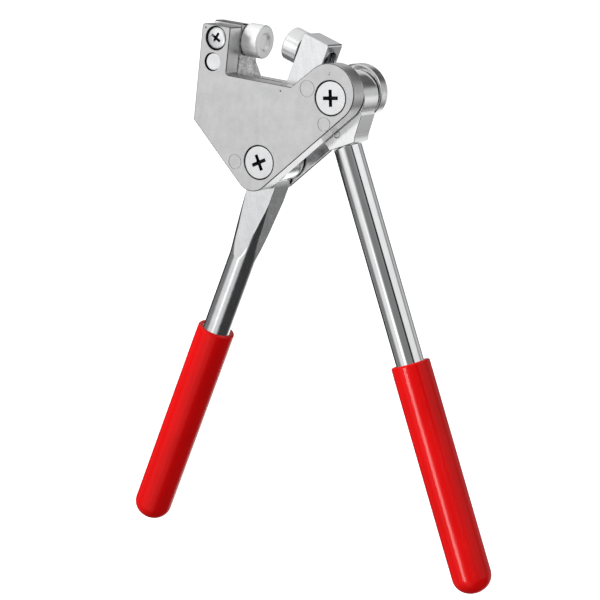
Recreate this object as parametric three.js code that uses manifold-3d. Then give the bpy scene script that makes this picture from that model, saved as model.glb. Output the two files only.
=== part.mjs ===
// Two-lever setting pliers for fence wire and netting clips, standing with the handles down.
// Millimetres, +Z up. The origin is the jaw pivot at the middle of the tool's thickness, the front
// cheek faces -Y and the dies meet along X. The tool is drawn fully open, as the spring holds it.
import * as THREE from "three";
import { mergeVertices } from "three/addons/utils/BufferGeometryUtils.js";
import Module from "manifold-3d";

const wasm = await Module();
wasm.setup();

// ---- driving dimensions -------------------------------------------------------------------
const HALF_DEPTH = 16.1; // half the thickness of the head
const FRONT_INNER = -6.4; // inner face of the front cheek
const REAR_INNER = 9.2; // inner face of the rear cheek
const GAP = 0.3; // clearance between two pieces that touch

const CAM_PIVOT = [34.4, 36.1]; // the right handle's pivot, x and z
const LEVER_TILT = 15.5; // how far the jaw leans open, degrees
const GEAR_RATIO = 1.2; // degrees of right handle for each degree of jaw
const ROD_LEAN = 26.3; // lean of the right handle when open, degrees

const HEAD_LEFT = -38.9;
const EAR_RIGHT = -23.2;
const EAR_TOP = 59.9; // the front cheek's ear
const EAR_BLOCK_TOP = 61.2; // the rear casting stands a little proud of it
const NOTCH_FLOOR = 37.7; // floor of the throat in the front cheek
const REAR_FLOOR = 35.8; // floor of the throat in the rear cheek
const LEFT_CORNER = 13.9;
// Rounded corners of the two cheeks round the cam pivot and below the jaw pivot.
const FRONT_CORNERS = { boss: { x: 33.0, z: 38.2, r: 13.5 }, toe: { x: -3.2, z: -4.7, r: 9.6 } };
const REAR_CORNERS = { boss: { x: 33.2, z: 37.0, r: 13.6 }, toe: { x: -2.6, z: -5.5, r: 9.8 } };

const LEVER_Y = 1.4; // middle plane of both levers
const LEVER_THICK = 13.4;
const ROD_R = 6.7;
const GRIP_R = 9.45;
const GRIP_LENGTH = 111.5;
const LEFT_GRIP_TOP = -93.2; // along the lever, from the jaw pivot
const RIGHT_GRIP_TOP = -126.8; // along the rod, from the cam pivot
const ROD_OFFSET = -8.3; // the rod's axis, square to itself, from the cam pivot
const LUG_END = -21.7; // lower end face of the lug

const DIE_Z = 53.8; // height of the die axis, and its distance along the lever
const DIE_R = 8.0;
const FIXED_FACE = -14.2; // striking face of the fixed die, along x
const MOVING_REACH = 8.3; // how far the moving die stands out of the jaw
const JAW_LEFT = -6.5; // jaw faces either side of the lever's axis
const JAW_RIGHT = 7.8;
const JAW_TOP = 62.6;
const SHANK_HALF = 7.1; // half width of the flat shank
const PUSHER = { x: -13.9, z: -18.4, r: 5 }; // rounded nose of the lug, from the cam pivot

const SCREW_HEAD_R = 7.9;
const BARREL_R = 4.5;
const SPRING_Z = 26.5;
const SPRING_R = 4.0;
const WIRE_R = 0.65;

// ---- shaping helpers ----------------------------------------------------------------------
const rad = (degrees) => (degrees * Math.PI) / 180;

// A closed solid from a three.js geometry, its corners merged and its faces outward.
function solid(geometry) {
  const bare = geometry.index ? geometry.toNonIndexed() : geometry.clone();
  bare.deleteAttribute("normal");
  bare.deleteAttribute("uv");
  const merged = mergeVertices(bare, 1e-4);
  const index = merged.index.array;
  const faces = [];
  for (let i = 0; i < index.length; i += 3) {
    const [a, b, c] = [index[i], index[i + 1], index[i + 2]];
    if (a !== b && b !== c && c !== a) faces.push(a, b, c);
  }
  const build = (triVerts) =>
    new wasm.Manifold(
      new wasm.Mesh({
        numProp: 3,
        vertProperties: new Float32Array(merged.attributes.position.array),
        triVerts: new Uint32Array(triVerts),
      }),
    );
  const made = build(faces);
  if (made.volume() > 0) return made;
  for (let i = 0; i < faces.length; i += 3)
    [faces[i + 1], faces[i + 2]] = [faces[i + 2], faces[i + 1]];
  return build(faces);
}

// A flat plate: the outline in x and z, from y0 to y1, with a small bevel all round.
function plate(points, y0, y1, bevel = 0) {
  const shape = new THREE.Shape(points.map(([x, z]) => new THREE.Vector2(x, z)));
  const geometry = new THREE.ExtrudeGeometry(shape, {
    depth: y1 - y0 - 2 * bevel,
    bevelEnabled: bevel > 0,
    bevelThickness: bevel,
    bevelSize: bevel,
    bevelOffset: -bevel,
    bevelSegments: 1,
    curveSegments: 8,
  });
  geometry.rotateX(Math.PI / 2);
  geometry.translate(0, y1 - bevel, 0);
  return solid(geometry);
}

// A round piece on the y axis: pairs of radius and y, starting and ending on the axis.
function turned(profile, sides = 32) {
  return solid(new THREE.LatheGeometry(profile.map(([r, y]) => new THREE.Vector2(r, y)), sides));
}

const cylinder = (r, y0, y1, sides = 32) =>
  turned([[0, y0], [r, y0], [r, y1], [0, y1]], sides);

// The same round piece laid along x, from left to right.
const alongX = (made) => made.rotate([0, 0, -90]);

// The same round piece hung downwards: its length runs along -z.
const downZ = (made) => made.rotate([-90, 0, 0]);

// Points of an arc round a centre, from one angle to another in degrees.
function arc(x, z, r, from, to, steps) {
  const points = [];
  for (let i = 0; i <= steps; i++) {
    const a = rad(from + ((to - from) * i) / steps);
    points.push([x + r * Math.cos(a), z + r * Math.sin(a)]);
  }
  return points;
}

// The angle round a circle where the line from a point outside it touches, on one side.
function touchAngle([px, pz], circle, side) {
  const away = Math.atan2(pz - circle.z, px - circle.x);
  const reach = Math.hypot(px - circle.x, pz - circle.z);
  return ((away + side * Math.acos(circle.r / reach)) * 180) / Math.PI;
}

// The angle of the line that touches two circles on their right-hand side.
function sharedAngle(from, to) {
  const length = Math.hypot(to.x - from.x, to.z - from.z);
  const heading = Math.atan2(to.z - from.z, to.x - from.x);
  return ((heading - Math.acos((from.r - to.r) / length)) * 180) / Math.PI;
}

function material(color, roughness, metalness) {
  return new THREE.MeshStandardMaterial({ color, roughness, metalness });
}

const tool = new THREE.Group();

function add(name, made, finish) {
  const data = made.getMesh();
  const position = new Float32Array(data.numVert * 3);
  for (let i = 0; i < data.numVert; i++)
    for (let k = 0; k < 3; k++)
      position[3 * i + k] = data.vertProperties[data.numProp * i + k];
  const geometry = new THREE.BufferGeometry();
  geometry.setAttribute("position", new THREE.BufferAttribute(position, 3));
  geometry.setIndex(new THREE.BufferAttribute(new Uint32Array(data.triVerts), 1));
  geometry.computeVertexNormals();
  const mesh = new THREE.Mesh(geometry, finish);
  mesh.name = name;
  tool.add(mesh);
}

const satinCasting = material(0xb9babc, 0.42, 0.9);
const brightChrome = material(0xdfe2e6, 0.12, 1.0);
const screwSteel = material(0xc4c6c9, 0.3, 1.0);
const darkSteel = material(0x6b6d70, 0.45, 1.0);
const brass = material(0xb08d4a, 0.35, 1.0);
const redVinyl = material(0xc8101a, 0.28, 0.0);

// ---- head: two castings bolted together ---------------------------------------------------
// Outline of a cheek. The ear is left off the rear one, which carries its own block there.
function cheekOutline({ boss, toe }, floor, withEar) {
  const throatRight = withEar ? 12.8 : 10.8;
  const start = touchAngle([throatRight, floor], boss, -1) + 360;
  const side = sharedAngle(toe, boss);
  const left = touchAngle([HEAD_LEFT, LEFT_CORNER], toe, 1);
  const ear = withEar
    ? [
        ...arc(HEAD_LEFT + 1.6, EAR_TOP - 1.6, 1.6, 180, 90, 3),
        [EAR_RIGHT, EAR_TOP],
        ...arc(EAR_RIGHT + 1.6, floor + 1.6, 1.6, 180, 270, 3),
      ]
    : [[HEAD_LEFT, floor]];
  return [
    ...ear,
    [throatRight, floor],
    ...arc(boss.x, boss.z, boss.r, start, side, 18),
    ...arc(toe.x, toe.z, toe.r, side, left - 360, 12),
    [HEAD_LEFT, LEFT_CORNER],
  ];
}

// Places along y that something on the head's cross-holes needs.
const DIE_SCREW = { x: -30.7, z: DIE_Z, head: 5.4, shank: 2.4 };
const DOWEL = { x: -31.4, z: 42.6, r: 4.1 };

function at(made, x, z) {
  return made.translate([x, 0, z]);
}

// The countersunk seat of a pivot screw in the front cheek.
function pivotSeat() {
  return turned([
    [0, -HALF_DEPTH - 1],
    [SCREW_HEAD_R + GAP, -HALF_DEPTH - 1],
    [SCREW_HEAD_R + GAP, -HALF_DEPTH + 0.9],
    [BARREL_R + GAP, -HALF_DEPTH + 4.2],
    [BARREL_R + GAP, FRONT_INNER + 1],
    [0, FRONT_INNER + 1],
  ], 40);
}

function makeFrontCheek() {
  let made = plate(cheekOutline(FRONT_CORNERS, NOTCH_FLOOR, true), -HALF_DEPTH, FRONT_INNER, 0.5);
  made = made.subtract(pivotSeat());
  made = made.subtract(at(pivotSeat(), ...CAM_PIVOT));
  const head = turned([
    [0, -HALF_DEPTH - 1],
    [DIE_SCREW.head + GAP, -HALF_DEPTH - 1],
    [DIE_SCREW.head + GAP, -HALF_DEPTH + 3.2],
    [DIE_SCREW.shank + GAP, -HALF_DEPTH + 3.2],
    [DIE_SCREW.shank + GAP, FRONT_INNER + 1],
    [0, FRONT_INNER + 1],
  ]);
  made = made.subtract(at(head, DIE_SCREW.x, DIE_SCREW.z));
  const dowelHole = cylinder(DOWEL.r + GAP, -HALF_DEPTH - 1, FRONT_INNER + 1, 28);
  return made.subtract(at(dowelHole, DOWEL.x, DOWEL.z));
}

// The ear's rear half: a block with a rounded back corner that flares out to the rear cheek.
function earBlock() {
  const profile = [
    [FRONT_INNER + GAP, LEFT_CORNER + 8],
    [FRONT_INNER + GAP, EAR_BLOCK_TOP],
    ...arc(0, EAR_BLOCK_TOP - 9.7, 9.7, 90, 0, 7),
    [9.7, 43.4],
    [HALF_DEPTH, 35.7],
    [HALF_DEPTH, LEFT_CORNER + 8],
  ];
  const shape = new THREE.Shape(profile.map(([y, z]) => new THREE.Vector2(y, z)));
  const geometry = new THREE.ExtrudeGeometry(shape, {
    depth: EAR_RIGHT - HEAD_LEFT,
    bevelEnabled: false,
  });
  // shape x -> y, shape y -> z, depth -> x
  geometry.applyMatrix4(new THREE.Matrix4().set(0, 0, 1, HEAD_LEFT, 1, 0, 0, 0, 0, 1, 0, 0, 0, 0, 0, 1));
  return solid(geometry);
}

function makeRearCasting() {
  let made = plate(cheekOutline(REAR_CORNERS, REAR_FLOOR, false), REAR_INNER, HALF_DEPTH, 0.5);
  // The web that keeps the cheeks apart, down the left side and along the sloping edge.
  const web = plate(
    [
      [HEAD_LEFT, LEFT_CORNER],
      [HEAD_LEFT, 36],
      [EAR_RIGHT - 0.8, 36],
      [EAR_RIGHT - 0.8, 19],
      [-17.5, 2.6],
      [-19.4, -2.4],
    ],
    FRONT_INNER + GAP,
    REAR_INNER + 1,
  );
  made = made.add(web).add(earBlock());
  const tappedHole = cylinder(DIE_SCREW.shank + GAP, FRONT_INNER - 1, 7.0, 24);
  made = made.subtract(at(tappedHole, DIE_SCREW.x, DIE_SCREW.z));
  const dowelHole = cylinder(DOWEL.r + GAP, FRONT_INNER - 1, 3.4, 28);
  made = made.subtract(at(dowelHole, DOWEL.x, DOWEL.z));
  const dieBore = alongX(cylinder(4.8, -37.0, EAR_RIGHT + 1)).translate([0, LEVER_Y, DIE_Z]);
  made = made.subtract(dieBore);
  // Seats of the two barrel nuts, open to the back.
  const seat = turned([
    [0, REAR_INNER - 1],
    [BARREL_R + GAP, REAR_INNER - 1],
    [BARREL_R + GAP, HALF_DEPTH - 3.0],
    [SCREW_HEAD_R + GAP, HALF_DEPTH - 3.0],
    [SCREW_HEAD_R + GAP, HALF_DEPTH + 1],
    [0, HALF_DEPTH + 1],
  ], 40);
  made = made.subtract(seat).subtract(at(seat, ...CAM_PIVOT));
  // Pocket in the web for the end of the return spring, with the guide pin's hole in its floor.
  const pocket = alongX(cylinder(SPRING_R + 0.9, -27.6, -22, 28));
  const pinHole = alongX(cylinder(1.7 + GAP, -33.5, -27, 20));
  return made.subtract(pocket.add(pinHole).translate([0, LEVER_Y, SPRING_Z]));
}

// A cross recess for a Phillips driver, cut into a head whose face is at y0.
function crossRecess(y0, reach, width, depth, turn = 0) {
  const arm = new THREE.BoxGeometry(reach * 2, depth, width);
  const cut = solid(arm).add(solid(arm.clone().rotateY(Math.PI / 2)));
  return cut.translate([0, y0 + depth / 2 - 0.01, 0]).rotate([0, turn, 0]);
}

function pivotScrew(turn) {
  const face = -HALF_DEPTH + 0.15;
  const made = turned([
    [0, face],
    [SCREW_HEAD_R - 0.4, face],
    [SCREW_HEAD_R, face + 0.35],
    [SCREW_HEAD_R, -HALF_DEPTH + 0.85],
    [2.7, -HALF_DEPTH + 5.6],
    [2.7, 6.6],
    [0, 6.6],
  ], 40);
  return made.subtract(crossRecess(face, 4.1, 1.7, 2.4, turn));
}

// A sleeve nut let in from the back: the levers turn on its outside.
function barrelNut() {
  const made = turned([
    [0, -9.6],
    [BARREL_R, -9.6],
    [BARREL_R, HALF_DEPTH - 2.7],
    [SCREW_HEAD_R, HALF_DEPTH - 2.7],
    [SCREW_HEAD_R, HALF_DEPTH - 0.6],
    [SCREW_HEAD_R - 0.5, HALF_DEPTH - 0.1],
    [0, HALF_DEPTH - 0.1],
  ], 40);
  const bore = cylinder(3.0, -12, 7.2, 24);
  const slot = solid(new THREE.BoxGeometry(18, 1.5, 1.8)).translate([0, HALF_DEPTH - 0.6, 0]);
  return made.subtract(bore).subtract(slot);
}

function thrustWasher(y0) {
  const ring = cylinder(8.0, y0, y0 + 0.5, 32);
  return ring.subtract(cylinder(BARREL_R + GAP, y0 - 1, y0 + 1.5, 32));
}

function makeDieScrew() {
  const face = -HALF_DEPTH + 0.5;
  const made = turned([
    [0, face],
    [DIE_SCREW.head - 0.9, face],
    [DIE_SCREW.head, face + 0.8],
    [DIE_SCREW.head, -HALF_DEPTH + 2.9],
    [DIE_SCREW.shank, -HALF_DEPTH + 2.9],
    [DIE_SCREW.shank, 6.6],
    [0, 6.6],
  ], 28);
  return made.subtract(crossRecess(face, 2.9, 1.3, 1.6, 28));
}

const makeDowel = () =>
  turned([
    [0, -HALF_DEPTH + 0.5],
    [DOWEL.r - 0.4, -HALF_DEPTH + 0.5],
    [DOWEL.r, -HALF_DEPTH + 0.9],
    [DOWEL.r, 2.7],
    [DOWEL.r - 0.4, 3.1],
    [0, 3.1],
  ], 28);

// The die held in the ear: a stem with a cross hole for its screw and a dished striking face.
function makeFixedDie() {
  const face = FIXED_FACE;
  const body = turned([
    [0, -36.6],
    [4.5, -36.6],
    [4.5, EAR_RIGHT + GAP],
    [DIE_R, EAR_RIGHT + GAP],
    [DIE_R, face - 0.7],
    [DIE_R - 0.7, face],
    [4.6, face],
    [3.4, face - 1.2],
    [0, face - 1.2],
  ], 36);
  const crossHole = cylinder(DIE_SCREW.shank + GAP, -8, 8, 24);
  return alongX(body)
    .subtract(crossHole.translate([DIE_SCREW.x, -LEVER_Y, 0]))
    .translate([0, LEVER_Y, DIE_Z]);
}

add("front_cheek", makeFrontCheek(), satinCasting);
add("rear_casting", makeRearCasting(), satinCasting);
add("fixed_die", makeFixedDie(), brightChrome);
add("die_screw", at(makeDieScrew(), DIE_SCREW.x, DIE_SCREW.z), screwSteel);
add("dowel_pin", at(makeDowel(), DOWEL.x, DOWEL.z), screwSteel);
add("jaw_pivot_screw", pivotScrew(-30), screwSteel);
add("cam_pivot_screw", at(pivotScrew(-9.5), ...CAM_PIVOT), screwSteel);
add("jaw_pivot_barrel", barrelNut(), darkSteel);
add("cam_pivot_barrel", at(barrelNut(), ...CAM_PIVOT), darkSteel);
const washers = [
  ["jaw_washer_front", FRONT_INNER + GAP, 0, 0],
  ["jaw_washer_rear", REAR_INNER - GAP - 0.5, 0, 0],
  ["cam_washer_front", FRONT_INNER + GAP, ...CAM_PIVOT],
  ["cam_washer_rear", REAR_INNER - GAP - 0.5, ...CAM_PIVOT],
];
for (const [name, y0, x, z] of washers) add(name, at(thrustWasher(y0), x, z), brass);

// ---- left lever: jaw, flat shank and round handle in one forging --------------------------
// It is drawn upright about the jaw pivot and then leaned open.
const lean = (made) => made.rotate([0, LEVER_TILT, 0]);

// Where the lug's nose sits in the lever's own frame, from open (0) to shut (1).
function noseInLever(t) {
  const turn = rad(GEAR_RATIO * LEVER_TILT * t);
  const x = CAM_PIVOT[0] + PUSHER.x * Math.cos(turn) + PUSHER.z * Math.sin(turn);
  const z = CAM_PIVOT[1] - PUSHER.x * Math.sin(turn) + PUSHER.z * Math.cos(turn);
  const back = rad(LEVER_TILT * (1 - t));
  return [x * Math.cos(back) - z * Math.sin(back), x * Math.sin(back) + z * Math.cos(back)];
}

function leverOutline() {
  return [
    [-SHANK_HALF, -44],
    [-SHANK_HALF, -12],
    ...arc(0, 0, 10.4, 232, 130, 8),
    [JAW_LEFT, 14],
    [JAW_LEFT, JAW_TOP - 0.6],
    [JAW_LEFT + 0.6, JAW_TOP],
    [JAW_RIGHT - 0.6, JAW_TOP],
    [JAW_RIGHT, JAW_TOP - 0.6],
    [JAW_RIGHT, 33],
    [9.2, 28],
    [9.2, 25.5],
    [12.2, 18.6],
    [12.2, 15],
    ...arc(0, 0, 10.4, 40, -52, 8),
    [SHANK_HALF, -12],
    [SHANK_HALF, -44],
  ].reverse();
}

// The bar turned down to the round handle: everything outside a cone is taken off its corners.
function shankCone() {
  const reach = 1 - LEFT_GRIP_TOP + GRIP_LENGTH - 2;
  return downZ(turned([
    [0, -20],
    [40, -20],
    [40, -6],
    [10.0, 17],
    [ROD_R, 52],
    [ROD_R, reach - 1.5],
    [ROD_R - 1.5, reach],
    [0, reach],
  ], 36));
}

function makeJawLever() {
  const y0 = LEVER_Y - LEVER_THICK / 2;
  let bar = plate(leverOutline(), y0, y0 + LEVER_THICK);
  const flat = plate(
    [[SHANK_HALF, -70], [SHANK_HALF, -30], [-SHANK_HALF, -30], [-SHANK_HALF, -70]],
    y0,
    y0 + LEVER_THICK,
  );
  const above = plate([[30, -14], [30, 80], [-30, 80], [-30, -14]], y0 - 1, y0 + LEVER_THICK + 1);
  const cone = shankCone().translate([0, LEVER_Y, 0]);
  bar = bar.add(flat).intersect(cone.add(above));
  const handle = downZ(turned([
    [0, 50],
    [ROD_R, 50],
    [ROD_R, 199.6],
    [ROD_R - 1.5, 201.1],
    [0, 201.1],
  ], 36)).translate([0, LEVER_Y, 0]);
  bar = bar.add(handle);
  // Seat for the nose of the lug, clear of it through the whole stroke.
  for (let i = 0; i <= 8; i++) {
    const [x, z] = noseInLever(i / 8);
    bar = bar.subtract(at(cylinder(PUSHER.r + GAP, -12, 14, 40), x, z));
  }
  bar = bar.subtract(cylinder(BARREL_R + GAP, -12, 14, 32));
  const dieBore = turned([
    [0, JAW_LEFT - 1],
    [3.8, JAW_LEFT - 1],
    [3.8, 2.0],
    [5.0, 2.0],
    [5.0, JAW_RIGHT + 1],
    [0, JAW_RIGHT + 1],
  ], 28);
  return lean(bar.subtract(alongX(dieBore).translate([0, LEVER_Y, DIE_Z])));
}

function makeMovingDie() {
  const face = JAW_LEFT - MOVING_REACH;
  const body = turned([
    [0, face + 1.2],
    [2.6, face + 1.2],
    [3.6, face],
    [DIE_R - 0.7, face],
    [DIE_R, face + 0.7],
    [DIE_R, JAW_LEFT - GAP],
    [3.5, JAW_LEFT - GAP],
    [3.5, 1.4],
    [0, 1.4],
  ], 36);
  return lean(
    alongX(body.subtract(cylinder(2.3, -5.5, 3, 20))).translate([0, LEVER_Y, DIE_Z]),
  );
}

function makeMovingDieScrew() {
  const made = turned([
    [0, -5.0],
    [2.0, -5.0],
    [2.0, 2.3],
    [4.6, 2.3],
    [4.6, 4.9],
    [4.2, 5.3],
    [0, 5.3],
  ], 24);
  const socket = solid(new THREE.CylinderGeometry(2.0, 2.0, 2.4, 6)).translate([0, 4.6, 0]);
  return lean(alongX(made.subtract(socket)).translate([0, LEVER_Y, DIE_Z]));
}

// A dipped sleeve: open at the top with a thick lip, and a rounded closed end.
function grip() {
  const top = 0;
  const end = GRIP_LENGTH;
  const outside = turned([
    [0, top],
    [GRIP_R - 0.9, top],
    [GRIP_R, top + 1.2],
    [GRIP_R, end - 7.5],
    [GRIP_R - 0.9, end - 4.2],
    [GRIP_R - 3.0, end - 1.5],
    [GRIP_R - 5.8, end - 0.2],
    [0, end],
  ], 36);
  return downZ(outside.subtract(cylinder(ROD_R + GAP, top - 1, end - 3.1, 36)));
}

add("jaw_lever", makeJawLever(), brightChrome);
add("moving_die", makeMovingDie(), brightChrome);
add("moving_die_screw", makeMovingDieScrew(), darkSteel);
add("left_grip", lean(grip().translate([0, LEVER_Y, LEFT_GRIP_TOP])), redVinyl);

// ---- right lever: a forged lug that pushes the jaw, and a rod pinned into it --------------
// The lug's own frame has the rod along -z; it is then leaned out about the cam pivot.
const swing = (made) => at(made.rotate([0, -ROD_LEAN, 0]), ...CAM_PIVOT);

// A point given square to the head, turned into the lug's own frame.
function inLug(x, z) {
  const a = rad(ROD_LEAN);
  return [x * Math.cos(a) + z * Math.sin(a), -x * Math.sin(a) + z * Math.cos(a)];
}

function makeLug() {
  const y0 = LEVER_Y - LEVER_THICK / 2;
  const nose = inLug(PUSHER.x, PUSHER.z);
  const knuckle = { x: 0, z: 0, r: 11.9 };
  const rodLeft = ROD_OFFSET - ROD_R - 0.1;
  const rodRight = ROD_OFFSET + ROD_R + 1.2;
  const noseCircle = { x: nose[0], z: nose[1], r: PUSHER.r };
  // The pushing arm: knuckle and nose joined by their two outer tangents.
  const back = sharedAngle(noseCircle, knuckle);
  const heading = (Math.atan2(-nose[1], -nose[0]) * 180) / Math.PI;
  const front = 2 * heading - back;
  const arm = plate(
    [
      ...arc(noseCircle.x, noseCircle.z, noseCircle.r, back, front - 360, 12),
      ...arc(0, 0, knuckle.r, front, back, 24),
    ],
    y0,
    y0 + LEVER_THICK,
  );
  const side = inLug(11.0, -7.2);
  const socket = plate(
    [
      [side[0], side[1]],
      [knuckle.r * 0.9, knuckle.r * 0.4],
      [-3, 3],
      [noseCircle.x + 1, noseCircle.z - 1],
      [rodLeft, LUG_END + 2.2],
      [rodLeft + 1.2, LUG_END],
      [rodRight, LUG_END],
      [rodRight + 1.0, LUG_END + 2.5],
    ],
    y0,
    y0 + LEVER_THICK,
  );
  let made = arm.add(socket);
  made = made.subtract(cylinder(BARREL_R + GAP, -12, 14, 32));
  const rodHole = downZ(cylinder(4.5 + GAP, 8.4, 30, 28));
  made = made.subtract(rodHole.translate([ROD_OFFSET, LEVER_Y, 0]));
  const pinHole = cylinder(1.5 + GAP, -12, 14, 20);
  return swing(made.subtract(at(pinHole, ROD_OFFSET, -15.5)));
}

function makeRightRod() {
  const end = -RIGHT_GRIP_TOP + GRIP_LENGTH - 3.6;
  const rod = downZ(turned([
    [0, 8.8],
    [4.5, 8.8],
    [4.5, -LUG_END + GAP],
    [ROD_R - 0.4, -LUG_END + GAP],
    [ROD_R, -LUG_END + 0.7],
    [ROD_R, end - 1.5],
    [ROD_R - 1.5, end],
    [0, end],
  ], 36)).translate([ROD_OFFSET, LEVER_Y, 0]);
  const pinHole = cylinder(1.5 + GAP, -12, 14, 20);
  return swing(rod.subtract(at(pinHole, ROD_OFFSET, -15.5)));
}

const lugPin = cylinder(1.5, LEVER_Y - LEVER_THICK / 2 + 0.3, LEVER_Y + LEVER_THICK / 2 - 0.3, 20);
add("cam_lug", makeLug(), brightChrome);
add("right_rod", makeRightRod(), brightChrome);
add("lug_pin", swing(at(lugPin, ROD_OFFSET, -15.5)), darkSteel);
add("right_grip", swing(grip().translate([ROD_OFFSET, LEVER_Y, RIGHT_GRIP_TOP])), redVinyl);

// ---- return spring between the web and the lever ------------------------------------------
class Coil extends THREE.Curve {
  constructor(radius, length, turns) {
    super();
    Object.assign(this, { radius, length, turns });
  }
  getPoint(t, target = new THREE.Vector3()) {
    const a = t * this.turns * 2 * Math.PI;
    return target.set(t * this.length, this.radius * Math.cos(a), this.radius * Math.sin(a));
  }
}

const springLeft = -27.0 + WIRE_R;
const springRight = -1.2 - WIRE_R;
const wire = new THREE.Shape().absarc(0, 0, WIRE_R, 0, 2 * Math.PI);
const coil = new THREE.ExtrudeGeometry(wire, {
  steps: 112,
  curveSegments: 4,
  bevelEnabled: false,
  extrudePath: new Coil(SPRING_R - WIRE_R, springRight - springLeft, 7),
});
add(
  "return_spring",
  solid(coil).translate([springLeft, LEVER_Y, SPRING_Z]),
  darkSteel,
);
const guide = alongX(turned([
  [0, -33.1],
  [1.7, -33.1],
  [1.7, -15.0],
  [1.1, -14.0],
  [0, -14.0],
], 20));
add("spring_guide", guide.translate([0, LEVER_Y, SPRING_Z]), darkSteel);

export default tool;
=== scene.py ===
"""Looks of a two-lever setting pliers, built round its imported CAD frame.

Shapes are drawn in millimetres in the frame of the part (+Z up the head, the front cheek facing -Y,
the origin on the jaw pivot) and turned into metres when a piece is finished.
"""

import logging
import math
from dataclasses import dataclass, field, replace
from enum import Enum
from typing import Callable, Iterable, Optional, Sequence

import bmesh
import bpy
from mathutils import Matrix, Vector


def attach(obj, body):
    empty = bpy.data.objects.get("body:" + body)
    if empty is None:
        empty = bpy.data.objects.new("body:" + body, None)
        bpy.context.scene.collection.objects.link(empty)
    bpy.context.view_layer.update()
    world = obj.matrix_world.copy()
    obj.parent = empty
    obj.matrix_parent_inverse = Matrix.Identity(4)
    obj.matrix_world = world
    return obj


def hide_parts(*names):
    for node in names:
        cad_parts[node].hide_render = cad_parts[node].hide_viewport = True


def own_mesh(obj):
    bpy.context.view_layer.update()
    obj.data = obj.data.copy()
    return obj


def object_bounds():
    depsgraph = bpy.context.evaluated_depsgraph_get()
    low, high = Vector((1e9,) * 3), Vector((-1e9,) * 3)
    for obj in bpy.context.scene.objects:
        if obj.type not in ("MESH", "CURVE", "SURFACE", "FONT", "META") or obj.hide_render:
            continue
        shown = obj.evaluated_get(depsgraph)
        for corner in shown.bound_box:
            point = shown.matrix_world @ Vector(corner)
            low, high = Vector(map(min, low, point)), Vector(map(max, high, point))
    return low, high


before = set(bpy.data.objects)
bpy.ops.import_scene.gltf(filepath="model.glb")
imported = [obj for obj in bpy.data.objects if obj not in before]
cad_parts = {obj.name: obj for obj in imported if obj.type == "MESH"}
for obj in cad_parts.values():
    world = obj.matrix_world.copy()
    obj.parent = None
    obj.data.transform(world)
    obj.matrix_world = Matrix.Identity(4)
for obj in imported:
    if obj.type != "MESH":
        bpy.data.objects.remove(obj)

LOG = logging.getLogger("setting_pliers")
CAD_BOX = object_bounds()

MM = 0.001
Point = tuple[float, float]
Outline = list[Point]

# ---- driving sizes, millimetres ---------------------------------------------------------------
HALF_DEPTH = 16.1
FRONT_INNER = -6.4
REAR_INNER = 9.2
GAP = 0.3
CAM_PIVOT = (34.4, 36.1)
LEVER_TILT = 15.5
GEAR_RATIO = 1.2
ROD_LEAN = 26.3
HEAD_LEFT = -38.9
EAR_RIGHT = -23.2
LEFT_CORNER = 13.9
LEVER_Y = 1.4
LEVER_THICK = 13.4
ROD_R = 6.7
DIE_Z = 53.8
DIE_R = 8.0
SCREW_HEAD_R = 7.9
BARREL_R = 4.5
DIE_SHANK_R = 2.4
GRIP_LENGTH = 111.5
LUG_PIN_Z = -15.5
# Nose of the lug, from the cam pivot: x, z and radius.
NOSE = (-13.9, -18.4, 5.0)
SPRING_Z = 26.5
SPRING_SPAN = (-27.0, -1.2)


class Axis(Enum):
    """The line that a turned piece is turned about."""

    ACROSS = "y"
    ALONG = "x"
    DOWN = "-z"

    def place(self, a: float, b: float, t: float) -> Vector:
        """The point at distance t along the axis and (a, b) square to it."""
        if self is Axis.ACROSS:
            return Vector((a, t, b))
        if self is Axis.ALONG:
            return Vector((t, a, b))
        return Vector((a, b, -t))


class Cut(Enum):
    """How one solid is combined with another."""

    ADD = "UNION"
    REMOVE = "DIFFERENCE"
    KEEP = "INTERSECT"


# ---- outline and solid helpers ----------------------------------------------------------------
def arc(x: float, z: float, r: float, start: float, end: float, steps: int) -> Outline:
    """Points of an arc.

    Args:
        x, z: its centre. r: its radius.
        start, end: angles in degrees. steps: number of chords.

    Returns:
        steps + 1 points.
    """
    angles = [math.radians(start + (end - start) * i / steps) for i in range(steps + 1)]
    return [(x + r * math.cos(a), z + r * math.sin(a)) for a in angles]


def touch_angle(point: Point, circle: tuple[float, float, float], side: int) -> float:
    """The angle round a circle (x, z, r) where a line from a point outside touches it."""
    away = math.atan2(point[1] - circle[1], point[0] - circle[0])
    reach = math.hypot(point[0] - circle[0], point[1] - circle[1])
    return math.degrees(away + side * math.acos(circle[2] / reach))


def shared_angle(first: tuple[float, float, float], second: tuple[float, float, float]) -> float:
    """The angle of the line that touches two circles (x, z, r) on their right-hand side."""
    length = math.hypot(second[0] - first[0], second[1] - first[1])
    heading = math.atan2(second[1] - first[1], second[0] - first[0])
    return math.degrees(heading - math.acos((first[2] - second[2]) / length))


def tidy_outline(outline: Sequence[Point]) -> Outline:
    """The outline without repeated points, turning anticlockwise."""
    kept: Outline = []
    for p in outline:
        if not kept or math.dist(p, kept[-1]) > 0.01:
            kept.append(p)
    if math.dist(kept[0], kept[-1]) <= 0.01:
        kept.pop()
    pairs = zip(kept, kept[1:] + kept[:1])
    area = sum(a[0] * b[1] - b[0] * a[1] for a, b in pairs)
    return kept if area > 0 else kept[::-1]


def inset(outline: Outline, depth: float) -> Outline:
    """An anticlockwise outline moved inwards by a depth."""
    moved: Outline = []
    count = len(outline)
    for i, p in enumerate(outline):
        before, here = Vector(outline[i - 1]), Vector(p)
        after = Vector(outline[(i + 1) % count])
        e1, e2 = (here - before).normalized(), (after - here).normalized()
        n1, n2 = Vector((-e1.y, e1.x)), Vector((-e2.y, e2.x))
        middle = (n1 + n2).normalized()
        q = here + middle * (depth / max(middle.dot(n1), 0.4))
        moved.append((q.x, q.y))
    return moved


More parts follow.
